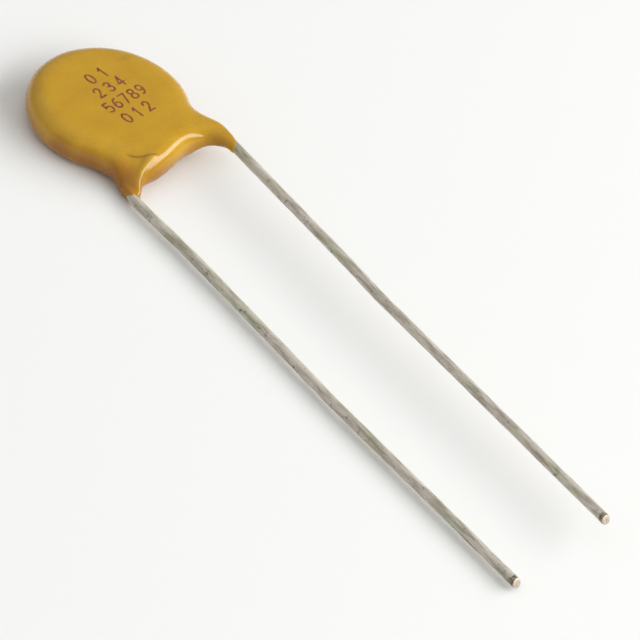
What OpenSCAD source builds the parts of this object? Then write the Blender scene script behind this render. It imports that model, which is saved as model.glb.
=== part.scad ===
// Radial-lead ceramic disc capacitor, lying on its flat back face.
// Millimetres. +Z is the disc's normal and the leads run along -Y.
// The origin is the centre of the flat back face, under the disc's centre.

/* [Coated body] */
// Diameter of the coated disc
body_d = 9.9; // [8.8:0.1:12]
// Thickness of the coated disc, face to face
body_t = 2.2; // [2.1:0.05:3]
// Reach of the rounded rim, inward from the edge
rim_w = 1.15; // [0.8:0.05:1.4]

/* [Ceramic disc] */
// Diameter of the fired dielectric disc
ceramic_d = 8.2; // [7.6:0.1:8.6]
// Thickness of the fired dielectric disc
ceramic_t = 0.5; // [0.4:0.05:0.6]
// Small bevel that pressing leaves on the disc's edges
ceramic_bevel = 0.06; // [0.02:0.01:0.1]

/* [Electrodes] */
// Diameter of the silver layer on each face
electrode_d = 7.4; // [6.6:0.1:7.6]
// Thickness of the silver layer
electrode_t = 0.03; // [0.02:0.005:0.04]

/* [Leads] */
// Diameter of the tinned wire
wire_d = 0.64; // [0.5:0.01:0.66]
// Height of the wire's underside over the silver, filled by solder
wire_gap = 0.02; // [0.01:0.01:0.04]
// Distance between the centre lines of the two leads
lead_spacing = 7.4; // [7:0.1:7.8]
// How far the middle between the leads lies right of the disc's centre
lead_shift = 0.68; // [0.5:0.01:0.9]
// Radius of each wire's bend, at its centre line
bend_r = 1.2; // [0.8:0.1:1.4]
// Tilt of the cutter's face at the free ends, in degrees
cut_tilt = 14; // [0:1:25]

/* [Left wire, on the back face] */
// Slope of the wire inside the coating, in degrees from the leads
left_slope = 22; // [18:1:26]
// Distance of the bend's corner from the disc's centre, along the leads
left_bend_y = 6.7; // [6.5:0.1:6.9]
// Length of the sloping wire, from its inner end to the bend's corner
left_inner = 6.2; // [5.8:0.1:6.4]
// Distance of the free end from the disc's centre, along the leads
left_end_y = 43.3; // [34:0.1:60]

/* [Right wire, on the front face] */
// Slope of the wire inside the coating, in degrees from the leads
right_slope = 36; // [33:1:39]
// Distance of the bend's corner from the disc's centre, along the leads
right_bend_y = 5.2; // [5:0.1:5.4]
// Length of the sloping wire, from its inner end to the bend's corner
right_inner = 5.6; // [5.4:0.1:6]
// Distance of the free end from the disc's centre, along the leads
right_end_y = 42.4; // [34:0.1:60]

/* [Legs of the coating] */
// Distance of the left coated tip from the disc's centre, along the leads
left_tip_y = 6.65; // [6.5:0.05:6.8]
// Distance of the right coated tip from the disc's centre, along the leads
right_tip_y = 6.65; // [6.5:0.05:6.9]
// Thickness of the skin round the wire at a leg's tip
tip_skin = 0.07; // [0.06:0.01:0.14]
// How far the left tip's middle lies inside the free wire's line, because its wire still slopes there
left_tip_shift = 0.14; // [0.1:0.01:0.2]
// How much further a tip reaches on its inner side than on its outer side, per mm across
tip_slant = 1.2; // [0.8:0.1:1.5]
// Direction in which the left shoulder leaves the disc, in degrees from the leads
left_shoulder = 48; // [44:1:54]
// Direction in which the right shoulder leaves the disc, in degrees from the leads
right_shoulder = 66; // [62:1:70]
// Fullness of the shoulders where they leave the disc
shoulder_pull = 1.3; // [0.9:0.1:1.8]
// Outward flare of the left leg's outer side at its tip, in degrees
left_flare = 12; // [8:1:18]
// Outward flare of the right leg's outer side at its tip, in degrees
right_flare = -6; // [-12:1:0]
// Length over which the left leg's outer side keeps its flare
left_side_pull = 1.5; // [1:0.1:2]
// Length over which the right leg's outer side keeps its flare
right_side_pull = 2.1; // [1.6:0.1:2.4]
// Flare of the arched edge at the left tip, in degrees
left_web_flare = 54; // [48:1:60]
// Flare of the arched edge at the right tip, in degrees
right_web_flare = 0; // [-4:1:8]
// Length over which the arched edge keeps its flare from the left tip
left_web_pull = 1.3; // [1:0.1:1.6]
// Length over which the arched edge keeps its flare from the right tip
right_web_pull = 2.3; // [1.8:0.1:2.8]

/* [Solder] */
// Radius of the solder mound round the wire
solder_r = 0.44; // [0.4:0.01:0.46]
// Length of the solder mound beyond the wire's inner end
solder_lip = 0.25; // [0.1:0.05:0.4]
// Length of the wire that the solder holds
solder_len = 2; // [1.6:0.1:2.1]

/* [Hidden] */

// Middle height of the coated disc, and the radii in use
mid_z = body_t / 2;
body_r = body_d / 2;
wire_r = wire_d / 2;
// Height of each electrode's outer face and of each wire's centre over the middle
electrode_h = ceramic_t / 2 + electrode_t;
wire_h = electrode_h + wire_gap + wire_r;
// Centre lines of the leads
left_x = lead_shift - lead_spacing / 2;
right_x = lead_shift + lead_spacing / 2;
// Radius of a coated leg at its tip, and of the flat left on top of it
tip_r = wire_r + tip_skin;
tip_flat = 0.05;

// Heading of each wire past its bend, in degrees from -Y towards +X, and the slight turns
// of its free length: [distance from the bend, turn in degrees]
left_lean = 1.6;
left_kinks = [[5.6, -2.3], [19.6, 1.6]];
right_lean = -0.8;
right_kinks = [[12.6, -1.6], [15.6, 2.9]];
kink_r = 25;
// How much slimmer than the straight wire a bend is, and how far its ends reach into it
bend_thin = 0.002;
seat = 0.01;

// Points round the outline, by stretch, and steps over half of the rounded edge
arc_n = 60;
leg_n = 16;
tip_n = 10;
web_n = 14;
rim_n = 7;
// Shares of the arched edge that belong to the left and the right leg
left_share = 0.46;
right_share = 0.4;

// Smooth rise from 0 to 1
function ease(t) = t * t * (3 - 2 * t);
// Unit vector at an angle from the leads' direction, counter-clockwise from above
function heading(a) = [sin(a), -cos(a)];
// The same vector turned a quarter, counter-clockwise
function side(v) = [-v.y, v.x];
// Point and direction on a cubic curve
function curve(p, t) = pow(1 - t, 3) * p[0] + 3 * t * pow(1 - t, 2) * p[1]
    + 3 * t * t * (1 - t) * p[2] + pow(t, 3) * p[3];
function curve_way(p, t) = let (d = pow(1 - t, 2) * (p[1] - p[0])
    + 2 * t * (1 - t) * (p[2] - p[1]) + t * t * (p[3] - p[2])) d / norm(d);

// The middle of each leg's round tip, and the angles at which its sides leave it
left_tip = [left_x + left_tip_shift, tip_r - left_tip_y];
right_tip = [right_x, tip_r - right_tip_y];
left_tip_out = -90 - left_flare;
left_tip_in = 90 - left_web_flare;
right_tip_in = right_web_flare - 90;
right_tip_out = 90 + right_flare;

// The outline's free curves: a side from each shoulder to its tip, and the arch from tip to tip
left_side = let (p = body_r * heading(-left_shoulder), q = left_tip + tip_r * heading(left_tip_out))
    [p, p + shoulder_pull * side(heading(-left_shoulder)), q - left_side_pull * heading(-left_flare), q];
right_side = let (p = body_r * heading(right_shoulder), q = right_tip + tip_r * heading(right_tip_out))
    [p, p - shoulder_pull * side(heading(right_shoulder)), q - right_side_pull * heading(right_flare), q];
arch = let (p = left_tip + tip_r * heading(left_tip_in), q = right_tip + tip_r * heading(right_tip_in))
    [p, p - left_web_pull * heading(-left_web_flare), q - right_web_pull * heading(right_web_flare), q];

// A point of the outline: place, inward normal, share of the leg's form, and its leg:
// -1 for the left one, which runs to the back wire, and 1 for the right one, to the front wire
function mark(p, way, share = 0, leg = 0) = [p, side(way), share, leg];
function side_mark(c, j, leg) = mark(curve(c, j / leg_n), -leg * curve_way(c, j / leg_n),
    ease(j / leg_n), leg);
function arch_mark(t, j = 0, leg = 0) = mark(curve(arch, t), curve_way(arch, t), ease(j / leg_n), leg);
function tip_mark(c, from, to, i, leg) = let (v = heading(from + (to - from) * i / tip_n))
    mark(c + tip_r * v, side(v), 1, leg);

// The whole outline, counter-clockwise from above, from the right shoulder round the disc
outline = concat(
    [for (i = [1:arc_n]) let (turn = 360 - left_shoulder - right_shoulder,
        v = heading(right_shoulder + turn * i / (arc_n + 1))) mark(body_r * v, side(v))],
    [for (j = [0:leg_n]) side_mark(left_side, j, -1)],
    [for (i = [1:tip_n - 1]) tip_mark(left_tip, left_tip_out, left_tip_in, i, -1)],
    [for (j = [leg_n:-1:0]) arch_mark(left_share * (1 - j / leg_n), j, -1)],
    [for (i = [1:web_n]) arch_mark(left_share + (1 - left_share - right_share) * i / (web_n + 1))],
    [for (j = [0:leg_n]) arch_mark(1 - right_share * (1 - j / leg_n), j, 1)],
    [for (i = [1:tip_n - 1]) tip_mark(right_tip, right_tip_in, right_tip_out, i, 1)],
    [for (j = [leg_n:-1:0]) side_mark(right_side, j, 1)]);
count = len(outline);
// Where the stretches start: outer and inner side of the left leg, the web, the right leg
left_out = arc_n;
left_in = left_out + leg_n + tip_n;
web_start = left_in + leg_n + 1;
right_in = web_start + web_n;
right_out = right_in + leg_n + tip_n;

// A point on the rounded edge: a is -90 on the back face, 0 at the edge and 90 on the front face
function skin_point(m, a) = let (
    reach = rim_w + (tip_r - tip_flat - rim_w) * m[2],
    half = body_t / 2 + (tip_r - body_t / 2) * m[2],
    p = m[0] + reach * (1 - cos(a)) * m[1],
    across = p.x - (m[3] < 0 ? left_tip : right_tip).x)
    [p.x, p.y + m[3] * pow(m[2], 4) * tip_slant * across, mid_z + m[3] * m[2] * wire_h + half * sin(a)];
skin_points = concat(
    [for (k = [-rim_n:rim_n]) for (m = outline) skin_point(m, 90 * k / rim_n)],
    [[0, 0, 0], [0, 0, body_t]]);

function flip(face) = [for (i = [len(face) - 1:-1:0]) face[i]];
// Faces that join rings of n points each, one ring after the other
function walls(rings, n) = [for (k = [0:rings - 2]) for (i = [0:n - 1])
    let (a = k * n + i, b = k * n + (i + 1) % n) each [[a, a + n, b + n], [a, b + n, b]]];
// The flat of one leg: a strip between its two sides, then its round tip
function leg_flat(a, b) = concat(
    [for (j = [0:leg_n - 1]) let (q = b + leg_n - j) each [[a + j, a + j + 1, q - 1], [a + j, q - 1, q]]],
    [[for (i = [0:tip_n]) a + leg_n + i]]);
// The flat of the disc and the web, as a fan about its middle point
disc_rim = concat([for (i = [0:left_out]) i], [left_in + leg_n],
    [for (i = [0:web_n - 1]) web_start + i], [right_in, right_out + leg_n]);
function face_flat(middle, first) = concat(
    [for (i = [0:len(disc_rim) - 1]) [middle - first, disc_rim[i], disc_rim[(i + 1) % len(disc_rim)]]],
    leg_flat(left_out, left_in), leg_flat(right_in, right_out));
function shifted(faces, by) = [for (f = faces) [for (i = f) i + by]];
front_first = 2 * rim_n * count;
back_middle = (2 * rim_n + 1) * count;
front_middle = back_middle + 1;
skin_faces = concat(walls(2 * rim_n + 1, count),
    face_flat(back_middle, 0),
    [for (f = shifted(face_flat(front_middle, front_first), front_first)) flip(f)]);

// Round parts are true circles at this setting
$fn = 64;

// Straight wire along -Y from here, whole or with a slanted cut at its free end
module straight(length) {
    rotate([90, 0, 0]) cylinder(r = wire_r, h = length);
}
module cut_straight(length) {
    difference() {
        straight(length + wire_d);
        translate([0, -length, 0]) rotate([-cut_tilt, 0, 0])
            translate([0, -wire_d, 0]) cube([2 * wire_d, 2 * wire_d, 4 * wire_d], center = true);
    }
}
// Bend from here, towards +X for a positive turn. Its ends reach a little into the straights.
module bend(turn, r) {
    s = sign(turn);
    bite = seat / r * 180 / PI;
    translate([s * r, 0, 0]) rotate([0, 0, (s > 0 ? 180 : turn) - bite])
        rotate_extrude(angle = abs(turn) + 2 * bite) translate([r, 0]) circle(r = wire_r - bend_thin);
}
module past_bend(turn, r) {
    s = sign(turn);
    translate([s * r, 0, 0]) rotate([0, 0, turn]) translate([-s * r, 0, 0]) children();
}
// A wire by its corners: run lists [distance to the corner, turn there, radius], last one the free end
module wire(run, i = 0, used = 0) {
    if (i == len(run) - 1) cut_straight(run[i][0] - used);
    else {
        ahead = run[i][2] * tan(abs(run[i][1]) / 2);
        length = run[i][0] - used - ahead;
        straight(length);
        translate([0, -length, 0]) {
            bend(run[i][1], run[i][2]);
            past_bend(run[i][1], run[i][2]) wire(run, i + 1, ahead);
        }
    }
}
function run_of(inner, turn, kinks, free) = concat([[inner, turn, bend_r]],
    [for (i = [0:len(kinks) - 1]) [kinks[i][0] - (i > 0 ? kinks[i - 1][0] : 0), kinks[i][1], kink_r]],
    [[free - kinks[len(kinks) - 1][0], 0, 0]]);
// The inner end of each wire, heading along its slope
module at_left() {
    translate([left_x, -left_bend_y, mid_z - wire_h]) rotate([0, 0, -left_slope])
        translate([0, left_inner, 0]) children();
}
module at_right() {
    translate([right_x, -right_bend_y, mid_z + wire_h]) rotate([0, 0, right_slope])
        translate([0, right_inner, 0]) children();
}
module left_wire() {
    at_left() wire(run_of(left_inner, left_slope + left_lean, left_kinks, left_end_y - left_bend_y));
}
module right_wire() {
    at_right() wire(run_of(right_inner, right_lean - right_slope, right_kinks, right_end_y - right_bend_y));
}

// Mound of solder over a wire's inner end, cut flat at the silver; up is 1 on the front face
module mound(up) {
    near = solder_r - solder_lip;
    block = 2 * solder_len + 4 * solder_r;
    difference() {
        union() {
            translate([0, -near, 0]) rotate([90, 0, 0]) cylinder(r = solder_r, h = solder_len - near);
            translate([0, -near, 0]) sphere(r = solder_r);
            translate([0, -solder_len, 0]) sphere(r = solder_r);
        }
        translate([0, 0, up * (electrode_h - wire_h - block / 2)]) cube(block, center = true);
    }
}

// Pressed disc with a small bevel round both faces
module disc_blank() {
    r = ceramic_d / 2;
    h = ceramic_t / 2;
    b = ceramic_bevel;
    translate([0, 0, mid_z]) rotate_extrude()
        polygon([[0, -h], [r - b, -h], [r, b - h], [r, h - b], [r - b, h], [0, h]]);
}
module silver(z) {
    translate([0, 0, z]) cylinder(d = electrode_d, h = electrode_t);
}

module coating() {
    color("goldenrod") difference() {
        polyhedron(points = skin_points, faces = skin_faces, convexity = 8);
        disc_blank();
        silver(mid_z + ceramic_t / 2);
        silver(mid_z - electrode_h);
        at_left() mound(-1);
        at_right() mound(1);
        left_wire();
        right_wire();
    }
}
module ceramic_disc() {
    color("tan") disc_blank();
}
module electrode_front() {
    color("silver") silver(mid_z + ceramic_t / 2);
}
module electrode_back() {
    color("silver") silver(mid_z - electrode_h);
}
module solder_front() {
    color("lightgray") difference() {
        at_right() mound(1);
        right_wire();
    }
}
module solder_back() {
    color("lightgray") difference() {
        at_left() mound(-1);
        left_wire();
    }
}
module lead_left() {
    color("darkgray") left_wire();
}
module lead_right() {
    color("darkgray") right_wire();
}

coating();
ceramic_disc();
electrode_front();
electrode_back();
solder_front();
solder_back();
lead_left();
lead_right();
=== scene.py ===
import math
import bpy
from mathutils import Matrix, Vector, noise
from mathutils.geometry import delaunay_2d_cdt


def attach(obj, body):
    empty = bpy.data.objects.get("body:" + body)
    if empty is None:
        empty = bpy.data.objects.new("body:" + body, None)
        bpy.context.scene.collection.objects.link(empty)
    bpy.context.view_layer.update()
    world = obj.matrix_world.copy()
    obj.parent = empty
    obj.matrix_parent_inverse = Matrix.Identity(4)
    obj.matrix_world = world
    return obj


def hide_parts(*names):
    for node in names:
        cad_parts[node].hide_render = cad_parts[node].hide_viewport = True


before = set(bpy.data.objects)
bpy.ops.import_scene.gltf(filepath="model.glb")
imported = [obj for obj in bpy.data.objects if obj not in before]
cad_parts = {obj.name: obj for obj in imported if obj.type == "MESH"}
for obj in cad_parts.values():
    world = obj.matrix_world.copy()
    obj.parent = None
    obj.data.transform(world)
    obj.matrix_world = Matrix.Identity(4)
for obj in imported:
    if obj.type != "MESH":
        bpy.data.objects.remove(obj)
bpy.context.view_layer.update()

noise.seed_set(1)  # without it, noise_vector's waves differ from run to run

# Ceramic disc capacitor, lying on its back. The numbers are millimetres; mm turns them to metres.
mm = 0.001


def linear(hexColour):  # sRGB hex to linear
    parts = [int(hexColour[i:i + 2], 16) / 255 for i in (0, 2, 4)]
    return [p / 12.92 if p <= 0.04045 else ((p + 0.055) / 1.055) ** 2.4 for p in parts] + [1.0]


def ease(t):  # smooth rise from 0 to 1
    t = min(max(t, 0), 1)
    return t * t * (3 - 2 * t)


def smoother(t):  # the same with no kink in its bend at either end
    t = min(max(t, 0), 1)
    return t * t * t * (t * (6 * t - 15) + 10)


def ramp(t):  # an even rise with both ends rounded
    t = min(max(t, 0), 1)
    soft = 0.25
    if t < soft:
        return t * t / (2 * soft * (1 - soft))
    if t > 1 - soft:
        return 1 - (1 - t) ** 2 / (2 * soft * (1 - soft))
    return (t - soft / 2) / (1 - soft)


def heading(angle):  # seen from above, 0 is along the leads, which is -Y
    return Vector((math.sin(math.radians(angle)), -math.cos(math.radians(angle))))


def side(way):  # a quarter turn counter-clockwise
    return Vector((-way.y, way.x))


# Camera: a long lens, so the picture is nearly parallel
cameraView = {
    "azimuth": -44.67, "elevation": 39.82, "roll": -12.31,
    "distance": 700,
    "fieldWidth": 37.776,  # seen across at that distance
    "middleRight": 12.478, "middleUp": -12.442,  # picture's middle, from the disc's
    "aimHeight": 1.1,
}
turn, lift, roll = (math.radians(cameraView[k]) for k in ("azimuth", "elevation", "roll"))
back = Vector((math.sin(turn) * math.cos(lift), -math.cos(turn) * math.cos(lift), math.sin(lift)))
level = Vector((math.cos(turn), math.sin(turn), 0))
upright = back.cross(level)
right = level * math.cos(roll) - upright * math.sin(roll)
up = level * math.sin(roll) + upright * math.cos(roll)
discMiddle = Vector((0, 0, cameraView["aimHeight"]))
eye = discMiddle + back * cameraView["distance"]
aim = discMiddle + right * cameraView["middleRight"] + up * cameraView["middleUp"]
zAxis = (eye - aim).normalized()
xAxis = up.cross(zAxis).normalized()
cameraData = bpy.data.cameras.new("camera")
cameraData.sensor_width = 36
cameraData.lens = 36 * cameraView["distance"] / cameraView["fieldWidth"]
camera = bpy.data.objects.new("camera", cameraData)
bpy.context.scene.collection.objects.link(camera)
camera.matrix_world = Matrix.Translation(eye * mm) @ Matrix(
    (xAxis, zAxis.cross(xAxis), zAxis)).transposed().to_4x4()
bpy.context.scene.camera = camera
print("camera set")


def addNode(tree, kind, settings=None, links=None):
    node = tree.nodes.new(kind)
    for name, value in (settings or {}).items():
        if name == "stops":  # the two ends of a colour ramp: place and colour
            for stop, (place, colour) in zip(node.color_ramp.elements, value):
                stop.position, stop.color = place, linear(colour)
        elif isinstance(name, str) and hasattr(node, name):
            setattr(node, name, value)
        else:
            node.inputs[name].default_value = value
    for name, socket in (links or {}).items():
        tree.links.new(socket, node.inputs[name])
    return node


# Settings that several Mix and Map Range nodes share
multiply = {"data_type": "RGBA", "blend_type": "MULTIPLY"}
softStep = {"interpolation_type": "SMOOTHSTEP"}


def newMaterial(name):
    material = bpy.data.materials.new(name)
    material.use_nodes = True
    tree = material.node_tree
    tree.nodes.clear()
    place = addNode(tree, "ShaderNodeTexCoord").outputs["Object"]
    # Pattern scales are then in waves per millimetre
    inMm = addNode(tree, "ShaderNodeVectorMath", {"operation": "SCALE", "Scale": 1 / mm}, {0: place})
    return material, tree, inMm.outputs[0]


def shade(tree, settings, links):
    surface = addNode(tree, "ShaderNodeBsdfPrincipled", settings, links)
    addNode(tree, "ShaderNodeOutputMaterial", {}, {"Surface": surface.outputs[0]})


def newPiece(name, points, faces, materials, faceMaterials=None):
    mesh = bpy.data.meshes.new(name)
    mesh.from_pydata([Vector(p) * mm for p in points], [], faces)
    mesh.polygons.foreach_set("use_smooth", [True] * len(mesh.polygons))
    for material in materials:
        mesh.materials.append(material)
    if faceMaterials:
        mesh.polygons.foreach_set("material_index", faceMaterials)
    mesh.update()
    piece = bpy.data.objects.new(name, mesh)
    bpy.context.scene.collection.objects.link(piece)
    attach(piece, "root")
    return piece


# The two wires, as the CAD has them: a slope inside the coating, a bend at its edge, then a long
# free length with two slight turns
wires = {
    "radius": 0.32, "bendRadius": 1.2, "kinkRadius": 25,
    "middle": 1.1, "offMiddle": 0.62,  # height of the disc's middle, and of each wire off it
    "left": {"name": "lead_left", "leg": -1, "x": -3.02, "bendY": -6.7, "slope": -22,
             "inner": 6.2, "lean": 1.6, "free": 36.6, "kinks": [(5.6, -2.3), (19.6, 1.6)], "seed": 3.1},
    "right": {"name": "lead_right", "leg": 1, "x": 4.38, "bendY": -5.2, "slope": 36,
              "inner": 5.6, "lean": -0.8, "free": 37.2, "kinks": [(12.6, -1.6), (15.6, 2.9)], "seed": 8.7},
    "sides": 48, "step": 0.16, "bendStep": 0.05, "kinkSteps": 6,
    # how much the surface wavers, from drawing and handling, and how far below the radius it lies
    "waver": 0.014, "under": 0.5,
    # the slow and the fine waves: how close round the wire, mm along it, strength, place in the noise
    "waves": [(0.7, 1.1, 0.9, 0), (2.2, 0.35, 0.45, 40)],
    # the cutter squeezes the end, slants it and leaves a dark smear with a ragged edge
    "pinchLength": 0.7, "pinch": 0.08, "cutSlope": 0.249, "smear": 0.42, "smearRagged": 0.3,
    # rings of the cut face: share of the radius and how far they stand out; then how rough it is
    "cutRings": [(0.9, 0.03), (0.55, 0.045)], "cutRough": 0.015, "cutGrain": 7,
}


def wirePath(wire):  # centre line in plan: (point, angle, length so far)
    angle = wire["slope"]
    point = Vector((wire["x"], wire["bendY"])) - heading(angle) * wire["inner"]
    corners = [(wire["inner"], wire["lean"] - wire["slope"], wires["bendRadius"])]
    before = 0
    for distance, turnHere in wire["kinks"]:
        corners.append((distance - before, turnHere, wires["kinkRadius"]))
        before = distance
    corners.append((wire["free"] - before, 0, 0))
    path, used, run = [(point.copy(), angle, 0)], 0, 0
    for distance, turnHere, radius in corners:
        ahead = radius * math.tan(math.radians(abs(turnHere)) / 2)
        straight = distance - used - ahead
        steps = max(1, round(straight / wires["step"]))
        for i in range(1, steps + 1):
            path.append((point + heading(angle) * straight * i / steps, angle, run + straight * i / steps))
        point, run = path[-1][0], path[-1][2]
        if turnHere:
            centre = point + side(heading(angle)) * math.copysign(radius, turnHere)
            length = radius * math.radians(abs(turnHere))
            bend = radius == wires["bendRadius"]
            steps = round(length / wires["bendStep"]) if bend else wires["kinkSteps"]
            for i in range(1, steps + 1):
                now = angle + turnHere * i / steps
                path.append((centre - side(heading(now)) * math.copysign(radius, turnHere), now,
                             run + length * i / steps))
            point, run, angle = path[-1][0], path[-1][2], angle + turnHere
        used = ahead
    return path


def wirePiece(wire, wireMaterial, cutMaterial, pinchedMaterial):
    path, n = wirePath(wire), wires["sides"]
    total, high = path[-1][2], wires["middle"] + wire["leg"] * wires["offMiddle"]
    skin, cut, pinched = 0, 1, 2  # which of the three materials a face has
    points, faces, kinds = [], [], []
    for place, angle, run in path:
        across = side(heading(angle))
        # Only the free end is shaped by the cutter
        nearEnd = ease(1 - (total - run) / wires["pinchLength"])
        for k in range(n):
            a = 2 * math.pi * k / n
            swell = wires["under"]
            for often, length, strength, shift in wires["waves"]:
                spot = (math.cos(a) * often, run / length, math.sin(a) * often + wire["seed"] + shift)
                swell += strength * noise.noise(Vector(spot))
            r = wires["radius"] - wires["waver"] * swell
            r *= 1 - wires["pinch"] * nearEnd * max(0, math.cos(2 * a))
            flat = place + across * r * math.cos(a)
            height = r * math.sin(a)
            flat += heading(angle) * -wires["cutSlope"] * height * nearEnd
            points.append((flat.x, flat.y, high + height))
    smears = []
    for k in range(n):
        spot = Vector((math.cos(2 * math.pi * k / n) * 1.5, wire["seed"], k / n))
        smears.append(wires["smear"] + wires["smearRagged"] * noise.noise(spot))
    for i in range(len(path) - 1):
        for k in range(n):
            a, b = i * n + k, i * n + (k + 1) % n
            faces.append((a, b, b + n, a + n))
            kinds.append(pinched if total - path[i][2] < smears[k] else skin)
    # Inner end, and the cut face: a narrow smeared edge round a rougher middle
    faces.append(tuple(range(n - 1, -1, -1)))
    kinds.append(cut)
    place, angle = path[-1][:2]
    last = (len(path) - 1) * n
    middle = Vector((place.x, place.y, high))
    for share, out in wires["cutRings"]:
        for k in range(n):
            p = middle + (Vector(points[last + k]) - middle) * share
            bump = out + wires["cutRough"] * noise.noise(p * wires["cutGrain"])
            points.append(tuple(p + Vector((*heading(angle), 0)) * bump))
    rings = len(wires["cutRings"])
    for ring in range(rings):
        for k in range(n):
            a, b = last + ring * n + k, last + ring * n + (k + 1) % n
            faces.append((a, b, b + n, a + n))
            kinds.append(cut)
    faces.append(tuple(last + rings * n + k for k in range(n)))
    kinds.append(cut)
    piece = newPiece(wire["name"] + "_wire", points, faces,
                     [wireMaterial, cutMaterial, pinchedMaterial], kinds)
    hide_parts(wire["name"])


# Tinned copper wire, hot dipped and drawn, dulled by age: a grey-beige satin metal with long
# olive and grey streaks, small dark nicks and hardly any mirror. Streaks are 0.2 mm wide and 2 mm
# long, patches 2.4 mm, nicks 0.4 mm; real drawing lines are finer and are drawn coarse to show.
tinnedCopper, tree, inMm = newMaterial("tinned_copper_drawn")
along = addNode(tree, "ShaderNodeMapping", {"Scale": (1, 0.11, 1)}, {"Vector": inMm}).outputs[0]
streaks = addNode(tree, "ShaderNodeTexNoise", {"Scale": 4.6, "Detail": 6, "Roughness": 0.68},
                  {"Vector": along})
patches = addNode(tree, "ShaderNodeTexNoise", {"Scale": 0.42, "Detail": 3, "Roughness": 0.55},
                  {"Vector": inMm})
nicks = addNode(tree, "ShaderNodeTexNoise", {"Scale": 2.6, "Detail": 4, "Roughness": 0.7},
                {"Vector": inMm})
tin = addNode(tree, "ShaderNodeValToRGB", {"stops": [(0.36, "cac7b5"), (0.62, "d4cac1")]},
              {"Fac": patches.outputs["Fac"]})
olive = addNode(tree, "ShaderNodeValToRGB", {"stops": [(0.37, "b0ae9b"), (0.57, "ffffff")]},
                {"Fac": streaks.outputs["Fac"]})
streaked = addNode(tree, "ShaderNodeMix", {**multiply, 0: 0.8},
                   {6: tin.outputs[0], 7: olive.outputs[0]})
nickEdge = addNode(tree, "ShaderNodeValToRGB", {"stops": [(0.31, "6f6b5a"), (0.4, "ffffff")]},
                   {"Fac": nicks.outputs["Fac"]})
tinColour = addNode(tree, "ShaderNodeMix", {**multiply, 0: 0.75},
                    {6: streaked.outputs[2], 7: nickEdge.outputs[0]})
tinRough = addNode(tree, "ShaderNodeMapRange", {"To Min": 0.55, "To Max": 0.75},
                   {"Value": streaks.outputs["Fac"]})
tinBump = addNode(tree, "ShaderNodeBump", {"Strength": 0.35, "Distance": 0.02 * mm},
                  {"Height": streaks.outputs["Fac"]})
shade(tree, {"Metallic": 0.5}, {"Base Color": tinColour.outputs[2], "Roughness": tinRough.outputs[0],
                                "Normal": tinBump.outputs[0]})

# The same wire's sheared end: metal torn in 0.1 mm grains, paler than its aged skin
shearedCopper, tree, inMm = newMaterial("tinned_copper_sheared")
torn = addNode(tree, "ShaderNodeTexNoise", {"Scale": 9, "Detail": 5, "Roughness": 0.6}, {"Vector": inMm})
tornColour = addNode(tree, "ShaderNodeValToRGB", {"stops": [(0.35, "b8aa96"), (0.65, "dfd4c3")]},
                     {"Fac": torn.outputs["Fac"]})
tornBump = addNode(tree, "ShaderNodeBump", {"Strength": 0.6, "Distance": 0.03 * mm},
                   {"Height": torn.outputs["Fac"]})
shade(tree, {"Metallic": 1.0, "Roughness": 0.55},
      {"Base Color": tornColour.outputs[0], "Normal": tornBump.outputs[0]})

# and its skin where the cutter squeezed it: dark and dull, with 0.25 mm patches of tin and grime
pinchedCopper, tree, inMm = newMaterial("tinned_copper_pinched")
grime = addNode(tree, "ShaderNodeTexNoise", {"Scale": 4, "Detail": 4, "Roughness": 0.6}, {"Vector": inMm})
grimeColour = addNode(tree, "ShaderNodeValToRGB", {"stops": [(0.38, "5f5848"), (0.6, "9c9483")]},
                      {"Fac": grime.outputs["Fac"]})
shade(tree, {"Metallic": 0.5, "Roughness": 0.6}, {"Base Color": grimeColour.outputs[0]})

for key in ("left", "right"):
    wirePiece(wires[key], tinnedCopper, shearedCopper, pinchedCopper)
print("wires made")

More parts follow.
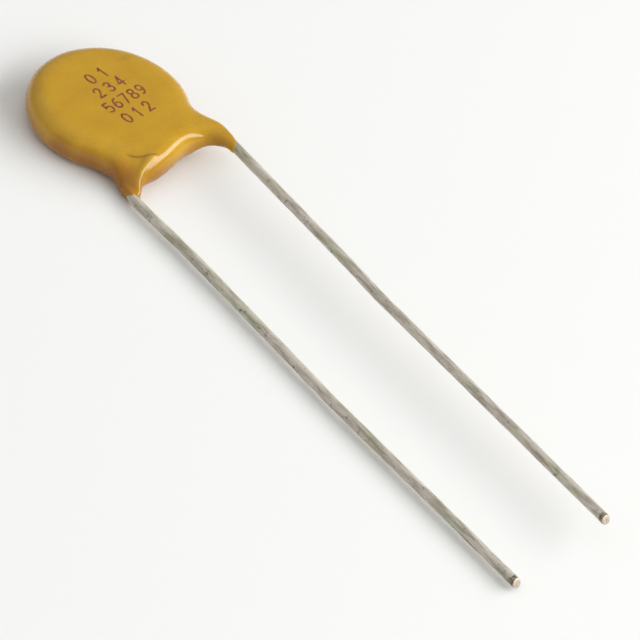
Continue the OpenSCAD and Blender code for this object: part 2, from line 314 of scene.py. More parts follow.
# The dipped coating: disc, web and two legs as one closed skin
coat = {
    "radius": 4.95, "thickness": 2.2,
    # how far the rounding reaches in: over the disc's rim, at most across a leg, and at the
    # arch's left and right
    "rimReach": 1.35, "mostReach": 1.5, "archReach": (1.05, 1.15),
    # 0 is a plain ellipse; more gives a fuller edge that runs softly into the flats
    "rimFullness": 0.45, "archFullness": (0.15, 0.6),
    "archChange": (0.35, 0.35),  # where the arch's rounding starts to change, and over what share
    "tipRadius": 0.39, "tipFlat": 0.05, "tipSlant": 1.2,
    # the web is fuller beside the left leg: how much, and where along the arch it rises and falls
    "archSwell": 0.48, "swellRise": (0.08, 0.24), "swellFall": (0.68, 0.32),
    "ridgePace": 1.3,  # how soon a leg's two roundings meet
    "left": {"leg": -1, "tip": Vector((-2.84, -6.06)), "shoulder": 50, "flare": 10, "sidePull": 1.3,
             "shoulderPull": 0.9, "webFlare": 54, "webPull": 1.3, "share": 0.46,
             # how far the disc's form runs on into the leg, on its outer side and its web side
             "delay": (0.44, 0.38),
             # where and how far around the skin settles smooth, and in how many rounds
             "settle": (Vector((-2.75, -4.75)), 2.0, 60),
             # the bead that ran together along the web's corner: its way, height and width
             "bead": ([Vector((-0.6, -5.25)), Vector((-1.3, -5.45)), Vector((-1.85, -5.7)),
                       Vector((-2.45, -6.1))], 0.16, 0.24),
             "roundings": (0.4, 0.58),  # shares of the leg's width that its two sides round off
             # where the coating ends on the wire: web side, front, outer side, back
             "ends": (7.14, 6.55, 6.3, 6.7)},
    "right": {"leg": 1, "tip": Vector((4.38, -6.16)), "shoulder": 66, "flare": -6, "sidePull": 2.25,
              "shoulderPull": 1.35, "webFlare": 0, "webPull": 2.3, "share": 0.4,
              "delay": (0, 0), "settle": (Vector((3.9, -4.7)), 1.5, 12),
              "roundings": (0.46, 0.46), "ends": (6.9, 6.74, 6.18, 6.5)},
    "beadFade": (0.4, 0.3),  # shares of the bead's way that it rises and falls over
    # settling: share of the radius it fades over, heights it fades in between, mm up the leg,
    # how far one round goes, and from which ring of the rim, in rim steps, it also moves sideways
    "settleEdge": 0.5, "settleHeight": (0.5, 0.6), "settleUp": 0.7, "settlePace": 0.6,
    "settleRing": (1.3, 0.6),
    # the hem on the wire: how far off the wire's middle it starts, how far above the tip's middle
    # and over what length, how far below it the plain tip ends, how ragged, how thin, how near
    "hem": {"reach": 0.5, "above": 0.25, "over": 0.45, "plainEnd": 0.2, "ragged": 0.035,
            "raggedScale": 1.3, "thin": 0.75, "gap": 0.02, "area": (0.9, 0.3),
            "wireFrom": -5.2, "wireTo": -8, "wireSteps": 8},
    "arcSteps": 220, "legSteps": 44, "tipSteps": 36, "webSteps": 40, "rimSteps": 18,
    "stripSteps": 8,
    # the flats' inner points: spacing, how far out, and share of the spacing kept from the edge
    "flatSpacing": 0.16, "flatReach": 6.4, "flatMargin": 0.6,
    "dome": 0.05,  # the front face falls a little towards its rim
    # slight waves that dipping and drying leave: height, length, and how much of it is upward
    "waver": 0.012, "waverLength": 1.7, "waverUp": 0.6,
}


def cubic(p, t):
    return p[0] * (1 - t) ** 3 + p[1] * 3 * t * (1 - t) ** 2 + p[2] * 3 * t * t * (1 - t) + p[3] * t ** 3


def cubicWay(p, t):
    way = (p[1] - p[0]) * (1 - t) ** 2 + (p[2] - p[1]) * 2 * t * (1 - t) + (p[3] - p[2]) * t * t
    return way.normalized()


def coatOutline():
    left, right, r = coat["left"], coat["right"], coat["tipRadius"]
    leftOut, leftIn = -90 - left["flare"], 90 - left["webFlare"]
    rightIn, rightOut = right["webFlare"] - 90, 90 + right["flare"]
    p, q = heading(-left["shoulder"]) * coat["radius"], left["tip"] + heading(leftOut) * r
    leftSide = [p, p + side(heading(-left["shoulder"])) * left["shoulderPull"],
                q - heading(-left["flare"]) * left["sidePull"], q]
    p, q = heading(right["shoulder"]) * coat["radius"], right["tip"] + heading(rightOut) * r
    rightSide = [p, p - side(heading(right["shoulder"])) * right["shoulderPull"],
                 q - heading(right["flare"]) * right["sidePull"], q]
    p, q = left["tip"] + heading(leftIn) * r, right["tip"] + heading(rightIn) * r
    arch = [p, p - heading(-left["webFlare"]) * left["webPull"],
            q - heading(right["webFlare"]) * right["webPull"], q]
    n, m, w = coat["legSteps"], coat["tipSteps"], coat["webSteps"]
    # Each mark: place, inward normal, share of the leg's form, leg, reach and fullness of the rounding
    rim, full = coat["rimReach"], coat["rimFullness"]
    (reachLeft, reachRight), (fullLeft, fullRight) = coat["archReach"], coat["archFullness"]
    (riseAt, riseOver), (fallAt, fallOver) = coat["swellRise"], coat["swellFall"]
    changeAt, changeOver = coat["archChange"]

    def archMark(t, share, leg):
        swell = coat["archSwell"] * ease((t - riseAt) / riseOver) * ease((fallAt - t) / fallOver)
        inward = side(cubicWay(arch, t))
        across = ease((t - changeAt) / changeOver)
        return [cubic(arch, t) - inward * swell, inward, share, leg,
                reachLeft + (reachRight - reachLeft) * across, fullLeft + (fullRight - fullLeft) * across]

    def shareAt(leg, j, onWeb, pace=1):  # the left leg grows out of the web more evenly
        fall = pace * (j / n - leg["delay"][onWeb]) / (1 - leg["delay"][onWeb])
        return smoother(fall) if leg is right or not onWeb else ramp(fall)
    marks = []
    turnRound = 360 - left["shoulder"] - right["shoulder"]
    for i in range(1, coat["arcSteps"] + 1):
        v = heading(right["shoulder"] + turnRound * i / (coat["arcSteps"] + 1))
        marks.append([v * coat["radius"], -v, 0, left, rim, full])
    for j in range(n + 1):
        inward = side(cubicWay(leftSide, j / n))
        marks.append([cubic(leftSide, j / n), inward, shareAt(left, j, 0), left, rim, full])
    for i in range(1, m):
        v = heading(leftOut + (leftIn - leftOut) * i / m)
        marks.append([left["tip"] + v * r, -v, 1, left, rim, full])
    for j in range(n, -1, -1):
        marks.append(archMark(left["share"] * (1 - j / n), shareAt(left, j, 1), left))
    for i in range(1, w + 1):
        marks.append(archMark(left["share"] + (1 - left["share"] - right["share"]) * i / (w + 1), 0, right))
    for j in range(n + 1):
        marks.append(archMark(1 - right["share"] * (1 - j / n), shareAt(right, j, 1), right))
    for i in range(1, m):
        v = heading(rightIn + (rightOut - rightIn) * i / m)
        marks.append([right["tip"] + v * r, -v, 1, right, rim, full])
    for j in range(n, -1, -1):
        inward = -side(cubicWay(rightSide, j / n))
        marks.append([cubic(rightSide, j / n), inward, shareAt(right, j, 0), right, rim, full])
    # Across a leg, the two roundings nearly meet in a ridge
    starts = coatStarts()
    for first, second, leg, order in ((starts["leftOut"], starts["leftIn"], left, (0, 1)),
                                      (starts["rightIn"], starts["rightOut"], right, (1, 0))):
        for j in range(n + 1):
            pair = marks[first + j], marks[second + n - j]
            width = (pair[0][0] - pair[1][0]).length
            for mark, onWeb in zip(pair, order):
                reach = min(width * leg["roundings"][onWeb], coat["mostReach"])
                mark[4] += (reach - mark[4]) * shareAt(leg, j, onWeb, coat["ridgePace"])
    return marks


def coatStarts():  # where each stretch of the outline starts
    legs, tips = coat["legSteps"], coat["tipSteps"]
    leftOut = coat["arcSteps"]
    leftIn = leftOut + legs + tips
    rightIn = leftIn + legs + 1 + coat["webSteps"]
    return {"leftOut": leftOut, "leftIn": leftIn, "webStart": leftIn + legs + 1,
            "rightIn": rightIn, "rightOut": rightIn + legs + tips}


def skinPoint(mark, angle):  # -90 on the back face, 0 at the edge, 90 on the front face
    place, inward, share, leg, reach, full = mark
    reach += (coat["tipRadius"] - coat["tipFlat"] - reach) * share ** 3
    half = coat["thickness"] / 2
    half += (coat["tipRadius"] - half) * share
    a, power = math.radians(angle), 2 / (2 + full * (1 - share))
    p = place + inward * reach * (1 - max(0, math.cos(a)) ** power)
    across = p.x - leg["tip"].x
    return Vector((p.x, p.y + leg["leg"] * share ** 4 * coat["tipSlant"] * across,
                   wires["middle"] + leg["leg"] * share * wires["offMiddle"]
                   + half * math.copysign(abs(math.sin(a)) ** power, a)))


def wavered(p):  # the skin's slight waves and its dome, the same for all that lies on it
    r = math.hypot(p.x, p.y) / coat["radius"]
    above = max(0, (p.z - wires["middle"]) / wires["middle"])
    drop = coat["dome"] * above * min(1, r) ** 2
    wave = noise.noise_vector(p / coat["waverLength"]) * coat["waver"]
    return p + Vector((wave.x, wave.y, wave.z * coat["waverUp"])) - Vector((0, 0, drop))


def hemmed(p, leg, path):  # draws the coating out along the wire to where it ends
    hem, radius = coat["hem"], wires["radius"]
    place, angle = min(path, key=lambda s: (s[0].x - p.x) ** 2 + (s[0].y - p.y) ** 2)
    way, across = heading(angle), side(heading(angle))
    flat = Vector((p.x, p.y)) - place
    out, high = flat.dot(across), p.z - (wires["middle"] + leg["leg"] * wires["offMiddle"])
    rho = math.hypot(out, high)
    near = ease((hem["reach"] - rho) / (hem["reach"] - radius))
    depth = ease((leg["tip"].y - p.y + hem["above"]) / hem["over"])
    if near * depth <= 0:
        return p
    # Angle round the wire, 0 on the web side and 90 on top
    towardsWeb, rho = out * -leg["leg"], max(rho, 1e-6)
    web, front, outer, behind = leg["ends"]
    c, s = towardsWeb / rho, high / rho
    flatPart = (web if c > 0 else outer) * c * c + (front if s > 0 else behind) * s * s
    spot = Vector((c * hem["raggedScale"], s * hem["raggedScale"], leg["leg"] * 5))
    # The plain round tip already ends here
    plain = -leg["tip"].y + hem["plainEnd"] + coat["tipSlant"] * radius * c
    move = (flatPart + hem["ragged"] * noise.noise(spot) - plain) * near * depth
    # and thins it out there
    thin = hem["thin"] * near * depth * max(0, 1 - (radius + hem["gap"]) / rho)
    return p + Vector((way.x, way.y, 0)) * move / -way.y - Vector((*(across * out), high)) * thin


def coatPiece(material):
    marks = coatOutline()
    n, k = len(marks), coat["rimSteps"]
    points = [skinPoint(m, 90 * i / k) for i in range(-k, k + 1) for m in marks]
    faces = []
    for ring in range(2 * k):
        for i in range(n):
            a, b = ring * n + i, ring * n + (i + 1) % n
            faces.append((a, b, b + n, a + n))
    legs, tips, web, strip = coat["legSteps"], coat["tipSteps"], coat["webSteps"], coat["stripSteps"]
    leftOut, leftIn, webStart, rightIn, rightOut = coatStarts().values()

    def flatFaces(first, upward):  # the flat of one face, from the ring that starts at first
        found = []

        def add(*corners):
            found.append(corners if upward else corners[::-1])
        chords = []
        for a, b in ((leftOut, leftIn), (rightIn, rightOut)):
            rows = []
            for j in range(legs + 1):
                one, two = first + a + j, first + b + legs - j
                row = [one]
                for s in range(1, strip):
                    points.append(points[one].lerp(points[two], s / strip))
                    row.append(len(points) - 1)
                rows.append(row + [two])
            for j in range(legs):
                for s in range(strip):
                    add(rows[j][s], rows[j + 1][s], rows[j + 1][s + 1], rows[j][s + 1])
            # The tip's small flat, round the last row
            add(*([first + a + legs + i for i in range(tips + 1)] + rows[-1][-2:0:-1]))
            chords.append(rows[0])
        loop = [first + i for i in range(leftOut)] + chords[0]
        loop += [first + webStart + i for i in range(web)] + chords[1]
        rim = [Vector((points[i].x, points[i].y)) for i in loop]
        height, gap = points[first].z, coat["flatSpacing"]
        margin, count = coat["flatMargin"] * gap, round(coat["flatReach"] / gap)
        triangleHeight = 0.866  # of an even triangle with sides of 1
        inner = []
        for row in range(-count, count + 1):
            for column in range(-count, count + 1):
                q = Vector(((column + 0.5 * (row % 2)) * gap, row * gap * triangleHeight))
                nearest = min((q - r).length_squared for r in rim)
                if nearest > margin ** 2 and insideLoop(q, rim):
                    inner.append(q)
        made = delaunay_2d_cdt(rim + inner, [], [list(range(len(rim)))], 1, 1e-6)
        verts, triangles, origin = made[0], made[2], made[3]
        index = []
        for v, was in zip(verts, origin):
            if was and was[0] < len(rim):
                index.append(loop[was[0]])
            else:
                points.append(Vector((v.x, v.y, height)))
                index.append(len(points) - 1)
        for t in triangles:
            corners = [index[i] for i in t]
            p = [points[i] for i in corners]
            turned = (p[1] - p[0]).cross(p[2] - p[0]).z
            add(*(corners if turned > 0 else corners[::-1]))
        return found

    faces += flatFaces(2 * k * n, True)
    faces += flatFaces(0, False)
    wide, above = coat["hem"]["area"]
    for key in ("left", "right"):
        leg = coat[key]
        settled(points, faces, leg, n)
        if "bead" in leg:
            beaded(points, leg["bead"])
        path = finePath(wires[key])
        for i, p in enumerate(points):
            if p.y < leg["tip"].y + above and abs(p.x - leg["tip"].x) < wide:
                points[i] = hemmed(p, leg, path)
    points[:] = [wavered(p) for p in points]
    piece = newPiece("dipped_coating", points, faces, [material])
    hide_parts("coating")


def finePath(wire):  # the centre line near the coated tip, in small steps: (point, angle)
    hem, found, path = coat["hem"], [], wirePath(wire)
    steps = hem["wireSteps"]
    for one, two in zip(path, path[1:]):
        if hem["wireTo"] < two[0].y and one[0].y < hem["wireFrom"]:
            for i in range(steps):
                found.append((one[0].lerp(two[0], i / steps), one[1] + (two[1] - one[1]) * i / steps))
    return found


def settled(points, faces, leg, ringSize):  # smooths the front where a leg leaves the disc
    middle, radius, rounds = leg["settle"]
    (low, over), (firstRing, rings) = coat["settleHeight"], coat["settleRing"]
    weights, k = {}, coat["rimSteps"]
    for i, p in enumerate(points):
        off = math.hypot(p.x - middle.x, p.y - middle.y)
        weight = ease((radius - off) / (coat["settleEdge"] * radius)) * ease((p.z - low) / over)
        weight *= ease((p.y - leg["tip"].y) / coat["settleUp"])
        if weight > 0:
            weights[i] = weight
    beside = {i: set() for i in weights}
    for face in faces:
        for a, b in zip(face, face[1:] + face[:1]):
            for one, two in ((a, b), (b, a)):
                if one in beside:
                    beside[one].add(two)
    for _ in range(rounds):
        moved = {}
        for i, weight in weights.items():
            mean = sum((points[j] for j in beside[i]), Vector((0, 0, 0))) / len(beside[i])
            away = (mean - points[i]) * coat["settlePace"] * weight
            # The outline stays where it is
            onRim = i < ringSize * (2 * k + 1)
            level = ease((i // ringSize - firstRing * k) / (rings * k)) if onRim else 1
            moved[i] = points[i] + Vector((away.x * level, away.y * level, away.z))
        for i, p in moved.items():
            points[i] = p


def beaded(points, bead):  # raises the bead along its way
    way, height, width = bead
    rise, fall = coat["beadFade"]
    for i, p in enumerate(points):
        if p.z < wires["middle"]:
            continue
        q = Vector((p.x, p.y))
        found = []
        for k, (one, two) in enumerate(zip(way, way[1:])):
            t = min(max((q - one).dot(two - one) / (two - one).length_squared, 0), 1)
            found.append(((q - one.lerp(two, t)).length, (k + t) / (len(way) - 1)))
        off, along = min(found)
        lifted = height * math.exp(-(off / width) ** 2) * ease(along / rise) * ease((1 - along) / fall)
        points[i] = p + Vector((0, 0, lifted))


def insideLoop(q, loop):
    within = False
    for a, b in zip(loop, loop[1:] + loop[:1]):
        if (a.y > q.y) != (b.y > q.y) and q.x < (b.x - a.x) * (q.y - a.y) / (b.y - a.y) + a.x:
            within = not within
    return within


# Phenolic lacquer, dipped and cured: ochre with a glossy skin, faintly mottled over 1.8 mm, with
# orange peel 0.6 mm wide. Its filler's grains are finer and are drawn 0.2 mm wide to show.
phenolic, tree, inMm = newMaterial("phenolic_lacquer_dipped")
mottle = addNode(tree, "ShaderNodeTexNoise", {"Scale": 0.55, "Detail": 4, "Roughness": 0.55},
                 {"Vector": inMm})
filler = addNode(tree, "ShaderNodeTexNoise", {"Scale": 5.5, "Detail": 5, "Roughness": 0.65},
                 {"Vector": inMm})
peel = addNode(tree, "ShaderNodeTexNoise", {"Scale": 1.7, "Detail": 2, "Roughness": 0.4},
               {"Vector": inMm})
ochre = addNode(tree, "ShaderNodeValToRGB", {"stops": [(0.35, "bb8d0c"), (0.65, "c29612")]},
                {"Fac": mottle.outputs["Fac"]})
grains = addNode(tree, "ShaderNodeValToRGB", {"stops": [(0.3, "f1ebdf"), (0.62, "ffffff")]},
                 {"Fac": filler.outputs["Fac"]})
coatColour = addNode(tree, "ShaderNodeMix", {**multiply, 0: 0.6},
                     {6: ochre.outputs[0], 7: grains.outputs[0]})
# Painted shade: the coating is darker and browner lower down, between two heights towards the back, and
# round some shaded places more
paintedShade = {
    "low": (0.5, 2.0), "lowTint": "dcc093", "lowStrength": 0.8,
    # middle, radius in mm, strength
    "places": [((-3.15, -5.0, 1.0), 1.6, 0.95),  # slope of the left leg
               ((4.1, -5.8, 1.2), 1.3, 0.85),  # under the right leg
               ((-0.3, -6.4, 0.2), 2.4, 0.8),  # low on the web
               ((-4.8, -1.6, 1.0), 1.35, 0.75), ((-4.0, -3.2, 0.9), 1.4, 0.85)],  # left rim
    "placeTint": "d6bd84", "core": 0.2,  # share of the radius that is evenly brown
}
lowest, highest = paintedShade["low"]
height = addNode(tree, "ShaderNodeSeparateXYZ", {}, {0: inMm})
# Painted shade, strongest lowest down
lowShade = addNode(tree, "ShaderNodeMapRange",
                 {**softStep, "From Min": lowest, "From Max": highest,
                  "To Min": paintedShade["lowStrength"], "To Max": 0}, {"Value": height.outputs[2]})
coatShaded = addNode(tree, "ShaderNodeMix", {**multiply, 7: linear(paintedShade["lowTint"])},
                    {0: lowShade.outputs[0], 6: coatColour.outputs[2]})
# Painted shade round each place, even within its core and fading out to its radius
for middle, radius, strength in paintedShade["places"]:
    fromMiddle = addNode(tree, "ShaderNodeVectorMath", {"operation": "DISTANCE", 1: middle}, {0: inMm})
    nearMiddle = addNode(tree, "ShaderNodeMapRange",
                         {**softStep, "From Min": paintedShade["core"] * radius, "From Max": radius,
                          "To Min": strength, "To Max": 0}, {"Value": fromMiddle.outputs["Value"]})
    coatShaded = addNode(tree, "ShaderNodeMix", {**multiply, 7: linear(paintedShade["placeTint"])},
                        {0: nearMiddle.outputs[0], 6: coatShaded.outputs[2]})
# A crescent where a bubble burst as it dried, and a faint smudge: brown on the front face only
blemishes = {
    "crescent": (-0.55, -3.44, 0), "crescentRadius": 1.9, "crescentWidth": 0.12,
    # which way its middle faces, and where it fades out, as a cosine from that way
    "crescentFacing": (-0.5, -0.866, 0), "crescentFade": (0.84, 0.94), "crescentDepth": 0.02,
    "smudge": (2.77, 2.4, 0), "smudgeSize": (1.6, 2.6, 0), "smudgeStrength": 0.3,
    "colour": "6e4a14", "strength": 0.6, "frontFrom": 1.5,  # height that the front face is above
}
fromCrescent = addNode(tree, "ShaderNodeVectorMath",
                       {"operation": "SUBTRACT", 1: blemishes["crescent"]}, {0: inMm})
flatWay = addNode(tree, "ShaderNodeVectorMath", {"operation": "MULTIPLY", 1: (1, 1, 0)},
                  {0: fromCrescent.outputs[0]})
away = addNode(tree, "ShaderNodeVectorMath", {"operation": "LENGTH"}, {0: flatWay.outputs[0]})
offArc = addNode(tree, "ShaderNodeMath", {"operation": "SUBTRACT", 1: blemishes["crescentRadius"]},
                 {0: away.outputs["Value"]})
nearArc = addNode(tree, "ShaderNodeMath", {"operation": "ABSOLUTE"}, {0: offArc.outputs[0]})
onArc = addNode(tree, "ShaderNodeMapRange",
                {**softStep, "From Max": blemishes["crescentWidth"], "To Min": 1, "To Max": 0},
                {"Value": nearArc.outputs[0]})
unitWay = addNode(tree, "ShaderNodeVectorMath", {"operation": "NORMALIZE"}, {0: flatWay.outputs[0]})
facing = addNode(tree, "ShaderNodeVectorMath", {"operation": "DOT_PRODUCT", 1: blemishes["crescentFacing"]},
                 {0: unitWay.outputs[0]})
fadeFrom, fadeTo = blemishes["crescentFade"]
arcFade = addNode(tree, "ShaderNodeMapRange", {"From Min": fadeFrom, "From Max": fadeTo},
                  {"Value": facing.outputs["Value"]})
onFront = addNode(tree, "ShaderNodeMath", {"operation": "GREATER_THAN", 1: blemishes["frontFrom"]},
                  {0: height.outputs[2]})
crescent = addNode(tree, "ShaderNodeMath", {"operation": "MULTIPLY"},
                   {0: onArc.outputs[0], 1: arcFade.outputs[0]})
crescentFront = addNode(tree, "ShaderNodeMath", {"operation": "MULTIPLY"},
                        {0: crescent.outputs[0], 1: onFront.outputs[0]})
fromSmudge = addNode(tree, "ShaderNodeVectorMath",
                     {"operation": "SUBTRACT", 1: blemishes["smudge"]}, {0: inMm})
smudgeWay = addNode(tree, "ShaderNodeVectorMath", {"operation": "MULTIPLY", 1: blemishes["smudgeSize"]},
                    {0: fromSmudge.outputs[0]})
smudgeAway = addNode(tree, "ShaderNodeVectorMath", {"operation": "LENGTH"}, {0: smudgeWay.outputs[0]})
smudge = addNode(tree, "ShaderNodeMapRange",
                 {**softStep, "To Min": blemishes["smudgeStrength"], "To Max": 0},
                 {"Value": smudgeAway.outputs["Value"]})
smudgeFront = addNode(tree, "ShaderNodeMath", {"operation": "MULTIPLY"},
                      {0: smudge.outputs[0], 1: onFront.outputs[0]})
stained = addNode(tree, "ShaderNodeMath", {"operation": "MAXIMUM"},
                  {0: crescentFront.outputs[0], 1: smudgeFront.outputs[0]})
stain = addNode(tree, "ShaderNodeMath", {"operation": "MULTIPLY", 1: blemishes["strength"]},
                {0: stained.outputs[0]})
coatStained = addNode(tree, "ShaderNodeMix", {"data_type": "RGBA", 7: linear(blemishes["colour"])},
                      {0: stain.outputs[0], 6: coatShaded.outputs[2]})
crescentBump = addNode(tree, "ShaderNodeBump",
                       {"Strength": 0.6, "Distance": blemishes["crescentDepth"] * mm, "invert": True},
                       {"Height": crescentFront.outputs[0]})
coatRough = addNode(tree, "ShaderNodeMapRange", {"To Min": 0.12, "To Max": 0.22},
                    {"Value": filler.outputs["Fac"]})
peelBump = addNode(tree, "ShaderNodeBump", {"Strength": 0.35, "Distance": 0.02 * mm},
                   {"Height": peel.outputs["Fac"], "Normal": crescentBump.outputs[0]})
coatBump = addNode(tree, "ShaderNodeBump", {"Strength": 0.15, "Distance": 0.006 * mm},
                   {"Height": filler.outputs["Fac"], "Normal": peelBump.outputs[0]})
shade(tree, {"IOR": 1.52}, {"Base Color": coatStained.outputs[2], "Roughness": coatRough.outputs[0],
                           "Normal": coatBump.outputs[0]})
coatPiece(phenolic)
print("coating made")

# Plain numbers stamped on the front face, as thin beads of ink that follow its waves
marking = {
    "rows": [("01", (0.25, 1.85), 1.05), ("234", (0.32, 0.68), 0.9),
             ("56789", (0.55, -0.58), 0.7), ("012", (0.52, -1.88), 0.9)],  # numbers, middle, pitch
    "angle": 10.5, "height": 0.8, "width": 0.42, "stroke": 0.172,
    # the ink's height, how much higher every next stroke lies, so that crossings stay clean, and
    # how narrow a stroke starts
    "ink": 0.007, "stagger": 0.12, "startWidth": 0.25,
    "edgeWaver": 0.18, "edgeWaves": 5,  # how uneven a stroke's edge is, in waves per millimetre
    # a stroke's cross section: shares of its half width and of the ink's height
    "section": [(-1, -1), (-0.6, 0.8), (0, 1), (0.6, 0.8), (1, -1)],
    "digits": {
        "0": [[(.5, 1), (.12, .84), (0, .5), (.12, .16), (.5, 0), (.88, .16), (1, .5), (.88, .84), (.5, 1)]],
        "1": [[(.2, .78), (.55, 1)], [(.55, 1), (.55, 0)]],
        "2": [[(.05, .74), (.18, .93), (.52, 1), (.88, .88), (.92, .66), (.62, .4), (.03, 0)],
              [(.03, 0), (1, 0)]],
        "3": [[(.08, .88), (.45, 1), (.88, .88), (.84, .64), (.45, .54)],
              [(.45, .54), (.94, .42), (.96, .14), (.48, 0), (.03, .13)]],
        "4": [[(.74, 0), (.74, 1)], [(.74, 1), (0, .3)], [(0, .3), (1, .3)]],
        "5": [[(.9, 1), (.16, 1)], [(.16, 1), (.1, .56)],
              [(.1, .56), (.52, .64), (.94, .5), (.96, .2), (.52, 0), (.03, .1)]],
        "6": [[(.84, .96), (.4, .88), (.06, .52), (.08, .16), (.5, 0), (.94, .16), (.92, .44), (.5, .58),
               (.1, .4)]],
        "7": [[(0, 1), (1, 1)], [(1, 1), (.34, 0)]],
        "8": [[(.5, .54), (.1, .68), (.14, .92), (.5, 1), (.86, .92), (.9, .68), (.5, .54)],
              [(.5, .54), (.03, .36), (.06, .1), (.5, 0), (.94, .1), (.97, .36), (.5, .54)]],
        "9": [[(.16, .04), (.6, .12), (.94, .48), (.92, .84), (.5, 1), (.06, .84), (.08, .56), (.5, .42),
               (.9, .6)]],
    },
}


def smoothStroke(stroke, steps=6):  # a soft line through a stroke's points
    if len(stroke) < 3:
        return [Vector(p) for p in stroke]
    p = [Vector(q) for q in [stroke[0]] + list(stroke) + [stroke[-1]]]
    if stroke[0] == stroke[-1]:
        p[0], p[-1] = Vector(stroke[-2]), Vector(stroke[1])
    found = []
    for i in range(1, len(p) - 2):
        for s in range(steps):
            t = s / steps
            found.append(0.5 * (2 * p[i] + (p[i + 1] - p[i - 1]) * t
                                + (2 * p[i - 1] - 5 * p[i] + 4 * p[i + 1] - p[i + 2]) * t * t
                                + (3 * p[i] - p[i - 1] - 3 * p[i + 1] + p[i + 2]) * t ** 3))
    return found + [Vector(stroke[-1])]


def markingPiece(material):
    points, faces = [], []
    turned = math.radians(marking["angle"])
    rowWay = Vector((math.cos(turned), math.sin(turned)))
    rowUp = side(rowWay)
    half, top = marking["stroke"] / 2, coat["thickness"]
    section, waves = marking["section"], marking["edgeWaves"]
    strokeCount, n = 0, len(section)
    for digits, middle, pitch in marking["rows"]:
        for i, digit in enumerate(digits):
            centre = Vector(middle) + rowWay * pitch * (i - (len(digits) - 1) / 2)
            for stroke in marking["digits"][digit]:
                line = [centre + rowWay * (q.x - 0.5) * marking["width"]
                        + rowUp * (q.y - 0.5) * marking["height"] for q in smoothStroke(stroke)]
                # Both ends reach half a stroke further, and narrow there
                line.insert(0, line[0] + (line[0] - line[1]).normalized() * half)
                line.append(line[-1] + (line[-1] - line[-2]).normalized() * half)
                lift = marking["ink"] * (1 + marking["stagger"] * (strokeCount % 3))
                strokeCount += 1
                first = len(points)
                for j, q in enumerate(line):
                    ahead = line[min(j + 1, len(line) - 1)] - line[max(j - 1, 0)]
                    across = side(ahead.normalized())
                    end = marking["startWidth"] if j in (0, len(line) - 1) else 1
                    uneven = noise.noise(Vector((q.x * waves, q.y * waves, 3)))
                    wide = half * end * (1 + marking["edgeWaver"] * uneven)
                    for s, h in section:
                        flat = q + across * wide * s
                        base = wavered(Vector((flat.x, flat.y, top)))
                        points.append(base + Vector((0, 0, lift * h * (end if h > 0 else 1))))
                for j in range(len(line) - 1):
                    for s in range(n - 1):
                        a = first + j * n + s
                        faces.append((a, a + 1, a + n + 1, a + n))
                faces.append(tuple(first + s for s in range(n)))
                faces.append(tuple(first + (len(line) - 1) * n + s for s in range(n - 1, -1, -1)))
    newPiece("stamped_numbers", points, faces, [material])


# Marking ink, stamped and cured: thin, reddish brown, in 0.4 mm patches where the stamp pressed less
ink, tree, inMm = newMaterial("marking_ink_stamped")
press = addNode(tree, "ShaderNodeTexNoise", {"Scale": 2.6, "Detail": 5, "Roughness": 0.6}, {"Vector": inMm})
inkColour = addNode(tree, "ShaderNodeValToRGB", {"stops": [(0.38, "6d3116"), (0.62, "915726")]},
                    {"Fac": press.outputs["Fac"]})
shade(tree, {"Roughness": 0.4, "IOR": 1.48}, {"Base Color": inkColour.outputs[0]})
markingPiece(ink)
print("marking made")

# Barium titanate ceramic, pressed and fired: pale tan and matt. Its grain is a thousandth of a
# millimetre wide and is drawn 0.07 mm wide to show.
ceramic, tree, inMm = newMaterial("barium_titanate_fired")
grain = addNode(tree, "ShaderNodeTexNoise", {"Scale": 14, "Detail": 4, "Roughness": 0.6}, {"Vector": inMm})
ceramicColour = addNode(tree, "ShaderNodeValToRGB", {"stops": [(0, "b79f7f"), (1, "d9c6a6")]},
                        {"Fac": grain.outputs["Fac"]})
ceramicBump = addNode(tree, "ShaderNodeBump", {"Strength": 0.3, "Distance": 0.01 * mm},
                      {"Height": grain.outputs["Fac"]})
shade(tree, {"Roughness": 0.75, "IOR": 1.6}, {"Base Color": ceramicColour.outputs[0],
                                              "Normal": ceramicBump.outputs[0]})

# Silver paste, screen printed and fired: a whitish matt metal with the screen's 0.05 mm grain
silver, tree, inMm = newMaterial("silver_paste_fired")
paste = addNode(tree, "ShaderNodeTexNoise", {"Scale": 22, "Detail": 3, "Roughness": 0.6}, {"Vector": inMm})
silverRough = addNode(tree, "ShaderNodeMapRange", {"To Min": 0.45, "To Max": 0.65},
                      {"Value": paste.outputs["Fac"]})
silverBump = addNode(tree, "ShaderNodeBump", {"Strength": 0.3, "Distance": 0.005 * mm},
                     {"Height": paste.outputs["Fac"]})
shade(tree, {"Base Color": linear("ddd9cf"), "Metallic": 1.0},
      {"Roughness": silverRough.outputs[0], "Normal": silverBump.outputs[0]})

# Tin solder, dip soldered: bright grey and smooth, frosted in 0.3 mm patches where it froze last
tinSolder, tree, inMm = newMaterial("tin_solder_dipped")
frost = addNode(tree, "ShaderNodeTexNoise", {"Scale": 3.5, "Detail": 4, "Roughness": 0.5}, {"Vector": inMm})
solderRough = addNode(tree, "ShaderNodeMapRange", {"To Min": 0.18, "To Max": 0.42},
                      {"Value": frost.outputs["Fac"]})
shade(tree, {"Base Color": linear("c9c8c4"), "Metallic": 1.0}, {"Roughness": solderRough.outputs[0]})

for node, material in (("ceramic_disc", ceramic), ("electrode_front", silver), ("electrode_back", silver),
                       ("solder_front", tinSolder), ("solder_back", tinSolder)):
    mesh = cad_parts[node].data
    mesh.materials.clear()
    mesh.materials.append(material)
print("inner parts dressed")

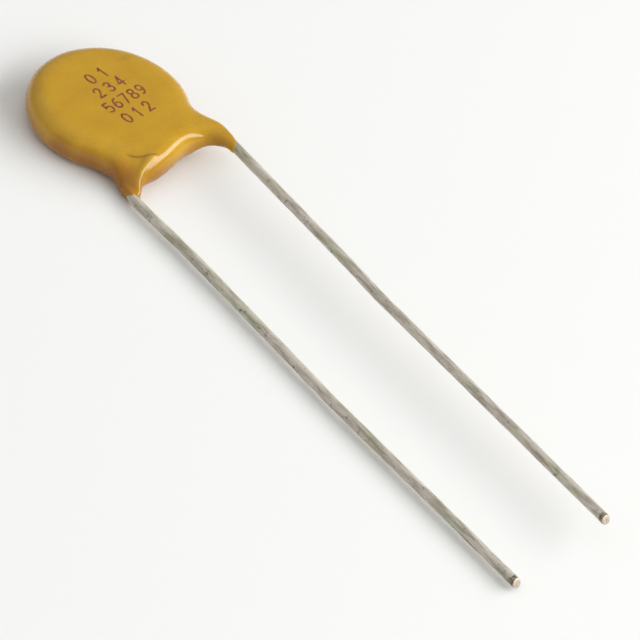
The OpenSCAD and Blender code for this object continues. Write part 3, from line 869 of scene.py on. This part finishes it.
# Studio: a pale floor, a big soft light overhead, a strip that the web's edge mirrors and a faint
# light from the camera's side
studio = {
    "floorSize": 3.0, "floorDrop": 0.03,  # in metres, and in mm under the part's back
    "floor": "ededeb", "world": "ffffff", "worldStrength": 0.48,
    # direction from the disc, distance and size in metres, watts
    "lights": [("overhead", (-0.2, 0.25, 0.95), 0.7, (1.2, 1.2), 1.0),
               ("side", (0.56, -0.63, 0.54), 0.5, (1.0, 0.2), 3.6),
               ("front", (0.55, -0.55, 0.63), 0.7, (0.6, 0.6), 0.1)],
}
# Card, rolled and matt: a flat sheet of plain paper, whose finer fibres are drawn coarse, 12 mm long
floorMaterial, tree, inMm = newMaterial("card_matt_white")
fibres = addNode(tree, "ShaderNodeTexNoise", {"Scale": 0.08, "Detail": 2}, {"Vector": inMm})
floorRough = addNode(tree, "ShaderNodeMapRange", {"To Min": 0.85, "To Max": 0.95},
                     {"Value": fibres.outputs["Fac"]})
shade(tree, {"Base Color": linear(studio["floor"]), "Specular IOR Level": 0.2},
      {"Roughness": floorRough.outputs[0]})
size = studio["floorSize"]
floorMesh = bpy.data.meshes.new("floor")
corners = [(-size, -size, 0), (size, -size, 0), (size, size, 0), (-size, size, 0)]
floorMesh.from_pydata(corners, [], [(0, 1, 2, 3)])
floorMesh.materials.append(floorMaterial)
floor = bpy.data.objects.new("floor", floorMesh)
floor.location.z = -studio["floorDrop"] * mm
bpy.context.scene.collection.objects.link(floor)

world = bpy.data.worlds.new("studio")
world.use_nodes = True
world.node_tree.nodes["Background"].inputs["Color"].default_value = linear(studio["world"])
world.node_tree.nodes["Background"].inputs["Strength"].default_value = studio["worldStrength"]
bpy.context.scene.world = world
for name, way, distance, (width, length), watts in studio["lights"]:
    lamp = bpy.data.lights.new(name, "AREA")
    lamp.shape, lamp.size, lamp.size_y, lamp.energy = "RECTANGLE", width, length, watts
    light = bpy.data.objects.new(name, lamp)
    bpy.context.scene.collection.objects.link(light)
    light.location = Vector(way).normalized() * distance + discMiddle * mm
    light.rotation_euler = Vector(way).to_track_quat("Z", "Y").to_euler()
bpy.context.scene.view_settings.view_transform = "Standard"
print("studio lit")
